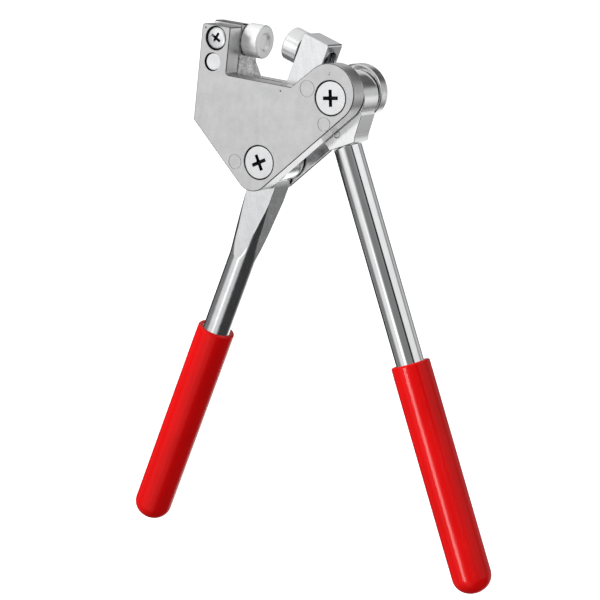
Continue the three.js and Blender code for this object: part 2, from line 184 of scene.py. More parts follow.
def solid_from(bm: bmesh.types.BMesh, name: str) -> bpy.types.Object:
    """A scene object from a closed mesh, its faces turned outwards."""
    bmesh.ops.recalc_face_normals(bm, faces=bm.faces)
    mesh = bpy.data.meshes.new(name)
    bm.to_mesh(mesh)
    bm.free()
    made = bpy.data.objects.new(name, mesh)
    bpy.context.scene.collection.objects.link(made)
    return made


def joined_rings(bm: bmesh.types.BMesh, rings: Sequence[list], name: str) -> bpy.types.Object:
    """A closed solid through rings of equally many corners, capped at both ends."""
    for low, high in zip(rings, rings[1:]):
        for i in range(len(low)):
            j = (i + 1) % len(low)
            bm.faces.new((low[i], low[j], high[j], high[i]))
    bm.faces.new(rings[0])
    bm.faces.new(rings[-1])
    return solid_from(bm, name)


def plate(
    outline: Sequence[Point], y0: float, y1: float, edge: float = 0.0, steps: int = 4
) -> bpy.types.Object:
    """A flat plate with rounded rims.

    Args:
        outline: its outline in x and z.
        y0, y1: its front and back faces.
        edge: radius of the rounding on both rims, or 0 for sharp rims.
        steps: facets of each rounding.

    Returns:
        The closed plate.
    """
    base = tidy_outline(outline)
    levels = [(0.0, y0), (0.0, y1)]
    if edge > 0:
        quarter = [math.pi / 2 * k / steps for k in range(steps + 1)]
        low = [(edge * (1 - math.sin(a)), y0 + edge * (1 - math.cos(a))) for a in quarter]
        levels = low + [(d, y0 + y1 - y) for d, y in reversed(low)]
    bm = bmesh.new()
    rings = [[bm.verts.new((x, y, z)) for x, z in inset(base, d)] for d, y in levels]
    return joined_rings(bm, rings, "plate")


def turned(
    profile: Sequence[Point], axis: Axis = Axis.ACROSS, sides: int = 96, closed: bool = False
) -> bpy.types.Object:
    """A turned solid.

    Args:
        profile: pairs of radius and place along the axis, on the axis at both ends.
        axis: the line it is turned about.
        sides: facets round it.
        closed: the profile is a ring that joins up with itself, clear of the axis.

    Returns:
        The closed solid.
    """
    bm = bmesh.new()
    rings = []
    for r, t in profile:
        if r < 1e-6:
            rings.append([bm.verts.new(axis.place(0, 0, t))])
            continue
        turns = [2 * math.pi * k / sides for k in range(sides)]
        rings.append(
            [bm.verts.new(axis.place(r * math.cos(a), r * math.sin(a), t)) for a in turns]
        )
    pairs = list(zip(rings, rings[1:])) + ([(rings[-1], rings[0])] if closed else [])
    for a, b in pairs:
        for k in range(sides):
            j = (k + 1) % sides
            corners = [a[k % len(a)], a[j % len(a)], b[j % len(b)], b[k % len(b)]]
            unique = list(dict.fromkeys(corners))
            if len(unique) > 2:
                bm.faces.new(unique)
    return solid_from(bm, "turned")


def cylinder(
    r: float, t0: float, t1: float, axis: Axis = Axis.ACROSS, sides: int = 96
) -> bpy.types.Object:
    """A plain round bar, used as a cutter."""
    return turned([(0, t0), (r, t0), (r, t1), (0, t1)], axis, sides)


def moved(made: bpy.types.Object, matrix: Matrix) -> bpy.types.Object:
    """The object with a placement applied to its mesh."""
    made.data.transform(matrix)
    return made


def shift(made: bpy.types.Object, x: float = 0, y: float = 0, z: float = 0) -> bpy.types.Object:
    """The object moved within its mesh."""
    return moved(made, Matrix.Translation((x, y, z)))


def leaned(made: bpy.types.Object) -> bpy.types.Object:
    """A piece drawn upright about the jaw pivot, leaned open."""
    return moved(made, Matrix.Rotation(math.radians(LEVER_TILT), 4, "Y"))


def swung(made: bpy.types.Object) -> bpy.types.Object:
    """A piece drawn with the rod straight down, swung out about the cam pivot."""
    turn = Matrix.Rotation(math.radians(-ROD_LEAN), 4, "Y")
    return moved(made, Matrix.Translation((CAM_PIVOT[0], 0, CAM_PIVOT[1])) @ turn)


def settle(made: bpy.types.Object) -> bpy.types.Object:
    """The object with its modifiers worked into a plain mesh."""
    graph = bpy.context.evaluated_depsgraph_get()
    graph.update()
    mesh = bpy.data.meshes.new_from_object(
        made.evaluated_get(graph), preserve_all_data_layers=True, depsgraph=graph
    )
    made.modifiers.clear()
    old, made.data = made.data, mesh
    bpy.data.meshes.remove(old)
    return made


def combine(
    base: bpy.types.Object, tools: Iterable[bpy.types.Object], how: Cut = Cut.REMOVE
) -> bpy.types.Object:
    """The base joined with, cut by or kept inside each tool, which is used up."""
    for tool in tools:
        cut = base.modifiers.new("cut", "BOOLEAN")
        cut.operation = how.value
        cut.solver = "EXACT"
        cut.object = tool
        settle(base)
        bpy.data.objects.remove(tool)
    return base


def soften(
    made: bpy.types.Object, width: float = 0.0, segments: int = 3, angle: float = 32.0
) -> bpy.types.Object:
    """Cleans a solid, breaks its sharp edges and evens its shading.

    Args:
        made: the solid, in millimetres.
        width: size of the broken edges, or 0 to leave them.
        segments: facets of each broken edge.
        angle: edges sharper than this, in degrees, count as sharp.

    Returns:
        The same object in metres, a plain mesh.
    """
    bm = bmesh.new()
    bm.from_mesh(made.data)
    bmesh.ops.remove_doubles(bm, verts=bm.verts, dist=2e-3)
    bmesh.ops.dissolve_degenerate(bm, edges=bm.edges, dist=2e-3)
    bm.to_mesh(made.data)
    bm.free()
    if width > 0:
        bevel = made.modifiers.new("broken edges", "BEVEL")
        bevel.width = width
        bevel.segments = segments
        bevel.limit_method = "ANGLE"
        bevel.angle_limit = math.radians(angle)
        bevel.use_clamp_overlap = False
        bevel.miter_outer = "MITER_ARC"
        settle(made)
    bm = bmesh.new()
    bm.from_mesh(made.data)
    limit = math.radians(38 if width > 0 else angle)
    for edge in bm.edges:
        edge.smooth = len(edge.link_faces) == 2 and edge.calc_face_angle(0.0) < limit
    for face in bm.faces:
        face.smooth = True
    bm.to_mesh(made.data)
    bm.free()
    even = made.modifiers.new("even shading", "WEIGHTED_NORMAL")
    even.keep_sharp = True
    even.weight = 60
    settle(made)
    return moved(made, Matrix.Scale(MM, 4))


def cross_recess(face: float, reach: float, width: float, depth: float, turn: float) -> list:
    """Cutters for a cross recess whose arms narrow towards the bottom.

    Args:
        face: y of the head's face. reach: length of an arm from the middle.
        width: width of an arm at the face. depth: depth at the middle.
        turn: turn of the cross about the screw, degrees.

    Returns:
        Two arms and the pointed middle.
    """
    cutters = []
    for quarter in (0, 90):
        bm = bmesh.new()
        rows = []
        for y, length, half in (
            (face - 0.6, reach + 0.25, width / 2 + 0.06),
            (face + depth * 0.55, reach * 0.72, width / 2 - 0.12),
            (face + depth, reach * 0.4, width / 2 - 0.25),
        ):
            spots = ((-length, -half), (length, -half), (length, half), (-length, half))
            rows.append([bm.verts.new((x, y, z)) for x, z in spots])
        arm = joined_rings(bm, rows, "arm")
        cutters.append(moved(arm, Matrix.Rotation(math.radians(turn + quarter), 4, "Y")))
    middle = [(0, face - 0.6), (width * 0.86, face - 0.6), (width * 0.62, face + depth * 0.8)]
    cutters.append(turned(middle + [(0, face + depth * 1.25)], sides=40))
    return cutters


# ---- node trees -------------------------------------------------------------------------------
class NodeTree:
    """Short ways to add and join the nodes of one tree."""

    def __init__(self, tree: bpy.types.NodeTree) -> None:
        """Takes over a tree."""
        self.tree = tree

    def fill(self, made: bpy.types.Node, inputs: dict) -> None:
        """Gives each named or numbered input of a node its value, or joins it to a socket."""
        for key, value in inputs.items():
            if isinstance(value, bpy.types.NodeSocket):
                self.tree.links.new(value, made.inputs[key])
            else:
                made.inputs[key].default_value = value

    def node(self, kind: str, inputs: Optional[dict] = None, **settings: object) -> bpy.types.Node:
        """Adds a node.

        Args:
            kind: its type. inputs: what its inputs are given, as in fill.
            settings: its properties.

        Returns:
            The node.
        """
        made = self.tree.nodes.new(kind)
        for key, value in settings.items():
            setattr(made, key, value)
        self.fill(made, inputs or {})
        return made


class NodePattern(NodeTree):
    """A geometry node tree with named inputs, ending in real geometry with its material."""

    def __init__(self, name: str, sizes: dict[str, float]) -> None:
        """Starts the tree.

        Args:
            name: the tree's name.
            sizes: its inputs and their values, in millimetres or counts.
        """
        super().__init__(bpy.data.node_groups.new(name, "GeometryNodeTree"))
        self.values = sizes
        face = self.tree.interface
        self.sockets = {
            label: face.new_socket(label, in_out="INPUT", socket_type="NodeSocketFloat").identifier
            for label in sizes
        }
        face.new_socket("Mesh", in_out="OUTPUT", socket_type="NodeSocketGeometry")
        self.size = self.node("NodeGroupInput").outputs

    def finish(
        self, geometry: bpy.types.NodeSocket, material: Optional[bpy.types.Material]
    ) -> bpy.types.Object:
        """Ends the tree and makes its mesh.

        Args:
            geometry: the socket that carries the pattern.
            material: what it is made of, or None for a cutter.

        Returns:
            An object with the finished plain mesh.
        """
        real = self.node("GeometryNodeRealizeInstances", {0: geometry})
        dressed = self.node(
            "GeometryNodeSetMaterial", {"Geometry": real.outputs[0], "Material": material}
        )
        self.node("NodeGroupOutput", {0: dressed.outputs[0]})
        host = bpy.data.objects.new(self.tree.name, bpy.data.meshes.new(self.tree.name))
        bpy.context.scene.collection.objects.link(host)
        modifier = host.modifiers.new("pattern", "NODES")
        modifier.node_group = self.tree
        for label, value in self.values.items():
            modifier[self.sockets[label]] = float(value)
        return settle(host)


def coil_spring(
    radius: float, length: float, turns: float, wire: float, material: bpy.types.Material
) -> bpy.types.Object:
    """An open coil along +z from the origin, made by a node tree.

    Args:
        radius: to the wire's middle. length: end to end. turns: number of turns.
        wire: the wire's radius. material: its finish.

    Returns:
        The coil.
    """
    sizes = {"Radius": radius, "Length": length, "Turns": turns, "Wire": wire}
    pattern = NodePattern("coil_spring", sizes)
    size = pattern.size
    spiral = pattern.node("GeometryNodeCurveSpiral", {
        "Resolution": 40, "Rotations": size["Turns"], "Start Radius": size["Radius"],
        "End Radius": size["Radius"], "Height": size["Length"],
    })
    ring = pattern.node("GeometryNodeCurvePrimitiveCircle", {"Resolution": 14, "Radius": size["Wire"]})
    tube = pattern.node("GeometryNodeCurveToMesh", {
        "Curve": spiral.outputs[0], "Profile Curve": ring.outputs[0], "Fill Caps": True,
    })
    return pattern.finish(tube.outputs[0], material)


def row_of_bars(
    count: int, pitch: float, length: float, height: float, depth: float
) -> bpy.types.Object:
    """A row of equal bars up +z, the first centred on the origin, used as one cutter.

    Args:
        count: number of bars. pitch: from one to the next.
        length: along y. height: along z. depth: along x.

    Returns:
        The bars.
    """
    sizes = {"Count": count, "Pitch": pitch, "Length": length, "Height": height, "Depth": depth}
    pattern = NodePattern("row_of_bars", sizes)
    size = pattern.size
    sides = pattern.node(
        "ShaderNodeCombineXYZ", {"X": size["Depth"], "Y": size["Length"], "Z": size["Height"]}
    )
    bar = pattern.node("GeometryNodeMeshCube", {"Size": sides.outputs[0]})
    step = pattern.node("ShaderNodeCombineXYZ", {"Z": size["Pitch"]})
    row = pattern.node("GeometryNodeMeshLine", {"Count": size["Count"], "Offset": step.outputs[0]})
    bars = pattern.node(
        "GeometryNodeInstanceOnPoints", {"Points": row.outputs[0], "Instance": bar.outputs[0]}
    )
    return pattern.finish(bars.outputs[0], None)


# ---- finishes ---------------------------------------------------------------------------------
class Shader(NodeTree):
    """A material's node tree."""

    def __init__(self, name: str) -> None:
        """Starts a material with its surface shader."""
        self.material = bpy.data.materials.new(name)
        self.material.use_nodes = True
        super().__init__(self.material.node_tree)
        self.tree.nodes.clear()
        self.surface = self.node("ShaderNodeBsdfPrincipled")
        self.node("ShaderNodeOutputMaterial", {0: self.surface.outputs[0]})
        self.coords = self.node("ShaderNodeTexCoord").outputs["Object"]

    def mapped(
        self, scale: Sequence[float] = (1, 1, 1), turn: float = 0.0, centre: Sequence[float] = (0, 0, 0)
    ) -> bpy.types.NodeSocket:
        """Object coordinates moved, turned about y and stretched.

        Args:
            scale: stretch along each axis. turn: degrees about y.
            centre: the point, in metres, that becomes the origin.

        Returns:
            The socket of the coordinates.
        """
        made = self.node("ShaderNodeMapping", {
            "Vector": self.coords, "Location": centre, "Rotation": (0, math.radians(turn), 0),
            "Scale": [1 / s for s in scale],
        }, vector_type="TEXTURE")
        return made.outputs[0]

    def noise(
        self, vector: bpy.types.NodeSocket, scale: float, detail: float, rough: float
    ) -> bpy.types.NodeSocket:
        """The value of a cloud pattern, scale in features per metre."""
        return self.node("ShaderNodeTexNoise", {
            "Vector": vector, "Scale": scale, "Detail": detail, "Roughness": rough,
        }).outputs[0]

    def spread(
        self, value: bpy.types.NodeSocket, low: float, high: float, start: float, end: float
    ) -> bpy.types.NodeSocket:
        """A value between low and high stretched to run from start to end."""
        return self.node("ShaderNodeMapRange", {
            "Value": value, "From Min": low, "From Max": high, "To Min": start, "To Max": end,
        }).outputs[0]

    def blend(
        self, share: bpy.types.NodeSocket, first: Sequence[float], second: Sequence[float]
    ) -> bpy.types.NodeSocket:
        """A colour between two, by a socket's share of the second."""
        inputs = {0: share, 6: (*first, 1), 7: (*second, 1)}
        return self.node("ShaderNodeMix", inputs, data_type="RGBA").outputs[2]

    def sum(
        self, a: bpy.types.NodeSocket, b: bpy.types.NodeSocket, share: float, operation: str = "ADD"
    ) -> bpy.types.NodeSocket:
        """a combined with share times b."""
        part = self.node("ShaderNodeMath", {0: b, 1: share}, operation="MULTIPLY").outputs[0]
        return self.node("ShaderNodeMath", {0: a, 1: part}, operation=operation).outputs[0]

    def bump(self, height: bpy.types.NodeSocket, strength: float, depth: float) -> None:
        """Relief on the surface, its depth in metres."""
        made = self.node(
            "ShaderNodeBump", {"Height": height, "Strength": strength, "Distance": depth}
        )
        self.fill(self.surface, {"Normal": made.outputs[0]})


@dataclass(frozen=True)
class Metal:
    """A bare or plated metal with cloudy colour, fine lines, pores and relief.

    cloud, grain and lines are scales in features per metre, and depth is in metres.
    """

    name: str
    light: tuple[float, float, float]
    dark: tuple[float, float, float]
    smooth: float
    rough: float
    cloud: float = 160.0
    grain: float = 1500.0
    lines: tuple[float, float, float] = (900.0, 900.0, 60.0)
    turn: float = 0.0
    line_share: float = 0.4
    relief: float = 0.15
    depth: float = 0.00012
    speck: float = 0.0
    metallic: float = 1.0
    rings: float = 700.0
    pores: float = 1100.0

    def make(self, centre: Optional[Sequence[float]] = None) -> bpy.types.Material:
        """Builds the material.

        Args:
            centre: a point on the axis of turning rings, in metres, for a turned piece.

        Returns:
            The material.
        """
        s = Shader(self.name)
        plain = s.mapped()
        clouds = s.noise(plain, self.cloud, 6, 0.6)
        grain = s.noise(plain, self.grain, 3, 0.5)
        if centre is None:
            lines = s.noise(s.mapped(self.lines, self.turn), 1.0, 2, 0.4)
        else:
            lines = s.node("ShaderNodeTexWave", {
                "Vector": s.mapped(centre=centre), "Scale": self.rings, "Distortion": 0.6,
                "Detail": 2,
            }, wave_type="RINGS", rings_direction="Y").outputs["Fac"]
        middle = 0.5 + 0.5 * self.line_share
        share = s.spread(s.sum(clouds, lines, self.line_share), middle - 0.22, middle + 0.22, 0, 1)
        if self.speck > 0:
            pores = s.spread(s.noise(plain, self.pores, 2, 0.5), 0.60, 0.70, 0, 1)
            share = s.sum(share, pores, self.speck * 2, "SUBTRACT")
        worn = s.spread(s.sum(grain, clouds, 0.7), 0.6, 1.1, self.smooth, self.rough)
        s.fill(s.surface, {
            "Base Color": s.blend(share, self.dark, self.light), "Roughness": worn,
            "Metallic": self.metallic,
        })
        s.bump(s.sum(s.sum(grain, lines, self.line_share), clouds, 1.4), self.relief, self.depth)
        return s.material


@dataclass(frozen=True)
class DippedVinyl:
    """Glossy soft plastic, slightly uneven as it comes out of the dip."""

    name: str = "dipped_red_vinyl"
    bright: tuple[float, float, float] = (0.73, 0.0022, 0.0028)
    deep: tuple[float, float, float] = (0.65, 0.0018, 0.0022)
    cloud: float = 38.0
    peel: float = 520.0
    scuff: tuple[float, float, float] = (500.0, 500.0, 90.0)

    def make(self) -> bpy.types.Material:
        """Builds the material."""
        s = Shader(self.name)
        plain = s.mapped()
        clouds = s.noise(plain, self.cloud, 4, 0.5)
        peel = s.noise(plain, self.peel, 2, 0.5)
        scuffs = s.noise(s.mapped(self.scuff), 1.0, 3, 0.6)
        s.fill(s.surface, {
            "Base Color": s.blend(s.spread(clouds, 0.35, 0.65, 0, 1), self.deep, self.bright),
            "Roughness": s.spread(scuffs, 0.35, 0.7, 0.20, 0.30),
            "Coat Weight": 0.25, "Coat Roughness": 0.09, "Specular IOR Level": 0.06,
        })
        s.bump(s.sum(peel, clouds, 0.6), 0.08, 0.0003)
        return s.material


CASTING = Metal("satin_casting", (0.75, 0.75, 0.75), (0.62, 0.62, 0.625), 0.27, 0.38,
                cloud=150, grain=1300, lines=(420, 420, 120), line_share=0.3, relief=0.12,
                speck=0.14)
FETTLED = Metal("fettled_casting", (0.96, 0.96, 0.965), (0.70, 0.70, 0.71), 0.13, 0.28,
                cloud=300, grain=900, lines=(500, 500, 160), relief=0.17, depth=0.00014,
                speck=0.35)
# Painted glare: the dies' white base shows as matt white, strongly on the fixed die (metallic 0.30),
# less on the moving one (metallic 0.85).
DIE_PAINTED_GLARE = Metal("die_chrome_painted_glare", (1.0, 1.0, 1.0), (0.94, 0.945, 0.95), 0.10, 0.20,
                   cloud=120, grain=700, lines=(60, 1400, 1400), relief=0.05, depth=0.00008,
                   metallic=0.30)
DIE_LESS_PAINTED_GLARE = replace(DIE_PAINTED_GLARE, name="die_chrome_less_painted_glare", metallic=0.85)
# Painted shade for the ear's top.
TOP_SHADE = Metal("painted_top_shade", (0.24, 0.24, 0.245), (0.10, 0.10, 0.105), 0.22, 0.38,
               cloud=420, grain=1600, relief=0.15)
# Painted reflection: dark and light bands for the ear's inner face.
REFLECTION_BANDS = Metal("painted_reflection_bands", (0.82, 0.82, 0.825), (0.28, 0.28, 0.285), 0.16, 0.32,
               cloud=330, grain=1200, lines=(300, 300, 900), relief=0.2, speck=0.3)
CHROME = Metal("polished_chrome", (0.95, 0.955, 0.96), (0.86, 0.865, 0.88), 0.05, 0.11,
               cloud=90, grain=700, lines=(1400, 1400, 50), relief=0.05, depth=0.00008)
# Painted light and shade: the lever's forging and the lug use two copies of one chromed finish, the
# lever's dimmer and the lug's brighter.
FORGING = Metal("chromed_forging", (0.87, 0.875, 0.88), (0.76, 0.765, 0.78), 0.09, 0.22,
                cloud=200, grain=900, lines=(900, 900, 80), turn=-15, relief=0.12)
LUG_FORGING_PAINTED_BRIGHT = replace(
    FORGING, name="chromed_forging_painted_bright", light=(1.0, 1.0, 1.0), dark=(0.93, 0.935, 0.94)
)
ZINC = Metal("turned_zinc_plate", (0.93, 0.935, 0.94), (0.80, 0.805, 0.82), 0.20, 0.32,
             cloud=300, grain=1800, line_share=0.3, relief=0.10, depth=0.00005)
OILED = Metal("oiled_dark_steel", (0.44, 0.445, 0.46), (0.27, 0.275, 0.285), 0.26, 0.42)
# Painted shade: a near-black finish laid on the faces inside seats, holes, cross recesses and slots.
RECESS_SHADE = Metal("painted_recess_shade", (0.060, 0.060, 0.062), (0.020, 0.020, 0.022), 0.40, 0.65,
              cloud=900, grain=3000)
# Painted shade: a dark finish for the front cheek's rims, moulding-pin grooves and ear top.
EDGE_SHADE = Metal("painted_edge_shade", (0.34, 0.34, 0.345), (0.14, 0.14, 0.145), 0.25, 0.42,
            cloud=700, grain=2200)
BRASS = Metal("plain_brass", (0.72, 0.56, 0.28), (0.52, 0.38, 0.17), 0.26, 0.42)


@dataclass
class Bench:
    """Hands finished pieces to the frame and keeps the shared materials."""

    made: dict[str, bpy.types.Material] = field(default_factory=dict)

    def finish_of(
        self, finish: Metal | DippedVinyl, centre: Optional[Sequence[float]] = None
    ) -> bpy.types.Material:
        """The material of a finish, made once for each centre of turning."""
        key = finish.name + str(centre or "")
        if key not in self.made:
            self.made[key] = finish.make() if centre is None else finish.make(centre)
        return self.made[key]

    def hand_over(
        self,
        piece: bpy.types.Object,
        name: str,
        finish: Metal | DippedVinyl,
        body: str,
        slot: str,
        *nodes: str,
        centre: Optional[Sequence[float]] = None,
    ) -> bpy.types.Object:
        """Names and dresses a finished piece and fixes it to its body.

        Args:
            piece: the plain mesh, in metres. name: its name.
            finish: its finish. body: the body it moves with.
            slot: the record's material slot. nodes: the CAD nodes it stands for.
            centre: a point on the axis of its turning rings, in metres.

        Returns:
            The piece.
        """
        piece.name = name
        piece.data.name = name
        piece.data.materials.clear()
        piece.data.materials.append(self.finish_of(finish, centre))
        # The grips don't mirror in the bright metal.
        piece.visible_glossy = slot != "red_vinyl"
        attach(piece, body)
        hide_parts(*nodes)
        LOG.info("%s: %d faces, on %s", name, len(piece.data.polygons), body)
        return piece

    def paint(
        self, piece: bpy.types.Object, finish: Metal, covers: Callable[[Vector, Vector], bool]
    ) -> None:
        """Gives some faces of a dressed piece another finish.

        Args:
            piece: the piece, in metres. finish: the other finish.
            covers: tells, from a face's middle in millimetres and its normal, whether it has it.
        """
        piece.data.materials.append(self.finish_of(finish))
        last = len(piece.data.materials) - 1
        for face in piece.data.polygons:
            if covers(face.center / MM, face.normal):
                face.material_index = last

    def dress(self, node: str, finish: Metal) -> None:
        """Gives a node that is kept as it is in the frame its finish."""
        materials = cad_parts[node].data.materials
        materials.clear()
        materials.append(self.finish_of(finish))


# ---- sub-assemblies ---------------------------------------------------------------------------
@dataclass
class Head:
    """The two castings with their pins, screws and sleeve nuts."""

    bench: Bench
    ear_top: float = 59.9
    ear_block_top: float = 61.2
    notch_floor: float = 37.7
    rear_floor: float = 35.8
    front_boss: tuple[float, float, float] = (33.0, 38.2, 13.5)
    front_toe: tuple[float, float, float] = (-3.2, -4.7, 9.6)
    rear_boss: tuple[float, float, float] = (33.2, 37.0, 13.6)
    rear_toe: tuple[float, float, float] = (-2.6, -5.5, 9.8)
    die_screw: tuple[float, float] = (-30.7, DIE_Z)
    die_screw_r: float = 5.4
    dowel: tuple[float, float] = (-31.4, 42.6)
    dowel_r: float = 4.1
    jaw_screw_turn: float = -30.0
    cam_screw_turn: float = -9.5
    die_screw_turn: float = 28.0
    spring_r: float = 4.0
    spring_wire: float = 0.65
    spring_turns: int = 7
    spring_keep: float = 0.79
    # Marks of the moulding pins: x, z and radius.
    pin_marks: tuple = ((21.8, 38.5, 3.75), (32.7, 23.8, 3.2), (-13.1, -1.9, 3.4))

    def outline(self, front: bool) -> Outline:
        """The outline of the front or the rear cheek."""
        boss, toe = (self.front_boss, self.front_toe) if front else (self.rear_boss, self.rear_toe)
        floor = self.notch_floor if front else self.rear_floor
        throat = 12.8 if front else 10.8
        start = touch_angle((throat, floor), boss, -1) + 360
        side = shared_angle(toe, boss)
        left = touch_angle((HEAD_LEFT, LEFT_CORNER), toe, 1)
        ear = [(HEAD_LEFT, floor)]
        if front:
            ear = (
                arc(HEAD_LEFT + 1.6, self.ear_top - 1.6, 1.6, 180, 90, 8)
                + arc(EAR_RIGHT - 0.8, self.ear_top - 0.8, 0.8, 90, 0, 5)
                + arc(EAR_RIGHT + 1.6, floor + 1.6, 1.6, 180, 270, 8)
            )
        return (
            ear
            + [(throat, floor)]
            + arc(*boss, start, side, 64)
            + arc(*toe, side, left - 360, 40)
            + [(HEAD_LEFT, LEFT_CORNER)]
        )

    def pivot_seat(self) -> bpy.types.Object:
        """The countersunk seat of a pivot screw in the front cheek."""
        rim = SCREW_HEAD_R + GAP
        return turned([
            (0, -HALF_DEPTH - 1), (rim + 0.9, -HALF_DEPTH - 1), (rim + 0.25, -HALF_DEPTH - 0.02),
            (rim, -HALF_DEPTH + 0.25), (rim, -HALF_DEPTH + 0.9),
            (BARREL_R + GAP, -HALF_DEPTH + 4.2), (BARREL_R + GAP, FRONT_INNER + 1),
            (0, FRONT_INNER + 1),
        ])

    def mark(self, x: float, z: float, r: float, line: float = 0.26) -> bpy.types.Object:
        """A cutter for the fine round line that a moulding pin leaves."""
        top, low = -HALF_DEPTH - 0.3, -HALF_DEPTH + 0.2
        ring = [(r - line, top), (r + line, top), (r + line * 0.4, low), (r - line * 0.4, low)]
        return shift(turned(ring, sides=72, closed=True), x, 0, z)

    def front_cheek(self) -> None:
        """Builds the front casting."""
        made = plate(self.outline(True), -HALF_DEPTH, FRONT_INNER, 0.55, 5)
        head = self.die_screw_r + GAP
        counterbore = turned([
            (0, -HALF_DEPTH - 1), (head + 0.8, -HALF_DEPTH - 1), (head + 0.2, -HALF_DEPTH),
            (head, -HALF_DEPTH + 0.2), (head, -HALF_DEPTH + 3.2),
            (DIE_SHANK_R + GAP, -HALF_DEPTH + 3.2), (DIE_SHANK_R + GAP, FRONT_INNER + 1),
            (0, FRONT_INNER + 1),
        ])
        hole = cylinder(self.dowel_r + GAP, -HALF_DEPTH - 1, FRONT_INNER + 1)
        cutters = [
            self.pivot_seat(),
            shift(self.pivot_seat(), CAM_PIVOT[0], 0, CAM_PIVOT[1]),
            shift(counterbore, self.die_screw[0], 0, self.die_screw[1]),
            shift(hole, self.dowel[0], 0, self.dowel[1]),
        ]
        cutters += [self.mark(*spot) for spot in self.pin_marks]
        # Casting pits, two of them a short tick above the cam screw.
        pits = ((7.7, 35.1, 0.45), (32.4, 46.6, 0.3), (32.7, 47.5, 0.25), (-36.9, 58.0, 0.5))
        for x, z, r in pits:
            pit = turned([(0, -0.6), (r * 1.6, -0.6), (r, 0.0), (0, 0.35)], sides=20)
            cutters.append(shift(pit, x, -HALF_DEPTH, z))
        combine(made, cutters)
        made = self.bench.hand_over(
            soften(made), "front_cheek_casting", CASTING, "head", "cast_head", "front_cheek"
        )
        seat_r = SCREW_HEAD_R + 0.6
        holes = [
            (0, 0, seat_r), (*CAM_PIVOT, seat_r),
            (*self.die_screw, self.die_screw_r + 0.55), (*self.dowel, self.dowel_r + 0.5),
        ]
        below_face = -HALF_DEPTH + 0.18
        # Painted shade on the faces down inside the screw seats and the holes.
        self.bench.paint(made, RECESS_SHADE, lambda c, n: c.y > below_face and any(
            math.hypot(c.x - x, c.z - z) < r for x, z, r in holes))

        def takes_painted_shade(c: Vector, n: Vector) -> bool:
            """Whether a face gets painted shade: an outer rim, a moulding line or the ear's top."""
            line = c.y < -HALF_DEPTH + 0.4 and -n.y < 0.999 and any(
                abs(math.hypot(c.x - x, c.z - z) - r) < 0.4 for x, z, r in self.pin_marks)
            rim = c.y < -HALF_DEPTH + 0.5 and 0.3 < -n.y < 0.97
            by_hole = any(math.hypot(c.x - x, c.z - z) < r + 1 for x, z, r in holes)
            return line or (n.z > 0.6 and c.z > 57) or (rim and not by_hole)

        # Painted shade along the front's rims, in the moulding-pin grooves and on the ear's top.
        self.bench.paint(made, EDGE_SHADE, takes_painted_shade)

    def ear_block(self) -> bpy.types.Object:
        """The ear's rear half, with a rounded back corner that flares to the rear cheek."""
        top = self.ear_block_top
        front = FRONT_INNER + GAP
        profile = tidy_outline(
            [(front, LEFT_CORNER + 8), (front, top - 0.5), (front + 0.5, top)]
            + arc(0, top - 9.7, 9.7, 90, 0, 24)
            + [(9.7, 43.4), (HALF_DEPTH, 35.7), (HALF_DEPTH, LEFT_CORNER + 8)]
        )
        bm = bmesh.new()
        spans = ((0.5, HEAD_LEFT), (0.0, HEAD_LEFT + 0.5), (0.0, EAR_RIGHT - 0.5), (0.5, EAR_RIGHT))
        rings = [[bm.verts.new((x, y, z)) for y, z in inset(profile, d)] for d, x in spans]
        return joined_rings(bm, rings, "ear_block")

    def rear_casting(self) -> None:
        """Builds the rear casting: cheek, web and ear block."""
        made = plate(self.outline(False), REAR_INNER, HALF_DEPTH, 0.8, 5)
        web = plate(
            [(HEAD_LEFT, LEFT_CORNER), (HEAD_LEFT, 36), (EAR_RIGHT - 0.8, 36),
             (EAR_RIGHT - 0.8, 19), (-17.5, 2.6), (-19.4, -2.4)],
            FRONT_INNER + GAP, REAR_INNER + 1, 0.3, 2,
        )
        combine(made, [web, self.ear_block()], Cut.ADD)
        tapped = cylinder(DIE_SHANK_R + GAP, FRONT_INNER - 1, 7.0)
        hole = cylinder(self.dowel_r + GAP, FRONT_INNER - 1, 3.4)
        bore = shift(cylinder(4.8, -37.0, EAR_RIGHT + 1, Axis.ALONG), 0, LEVER_Y, DIE_Z)
        rim = SCREW_HEAD_R + GAP
        seats = [
            shift(turned([
                (0, REAR_INNER - 1), (BARREL_R + GAP, REAR_INNER - 1),
                (BARREL_R + GAP, HALF_DEPTH - 3.0), (rim, HALF_DEPTH - 3.0),
                (rim, HALF_DEPTH - 0.3), (rim + 0.9, HALF_DEPTH + 0.6), (0, HALF_DEPTH + 1),
            ]), x, 0, z)
            for x, z in ((0, 0), CAM_PIVOT)
        ]
        pocket = shift(cylinder(4.9, SPRING_SPAN[0] - 0.6, -22, Axis.ALONG), 0, LEVER_Y, SPRING_Z)
        pin = shift(cylinder(2.0, -33.5, SPRING_SPAN[0], Axis.ALONG), 0, LEVER_Y, SPRING_Z)
        combine(made, [
            shift(tapped, self.die_screw[0], 0, self.die_screw[1]),
            shift(hole, self.dowel[0], 0, self.dowel[1]), bore, *seats, pocket, pin,
        ])
        made = self.bench.hand_over(
            soften(made), "rear_cheek_casting", FETTLED, "head", "cast_head", "rear_casting"
        )

        def on_top(c: Vector, n: Vector) -> bool:
            """Whether a face is on the ear's top."""
            return n.z > 0.6 and c.z > 56

        # The ear's top gets painted shade, and its inner face painted reflection in dark and light
        # bands.
        self.bench.paint(made, TOP_SHADE, on_top)
        self.bench.paint(made, REFLECTION_BANDS, lambda c, n: n.x > 0.7 and abs(c.x - EAR_RIGHT) < 1
                         and c.z > 30 and not on_top(c, n))

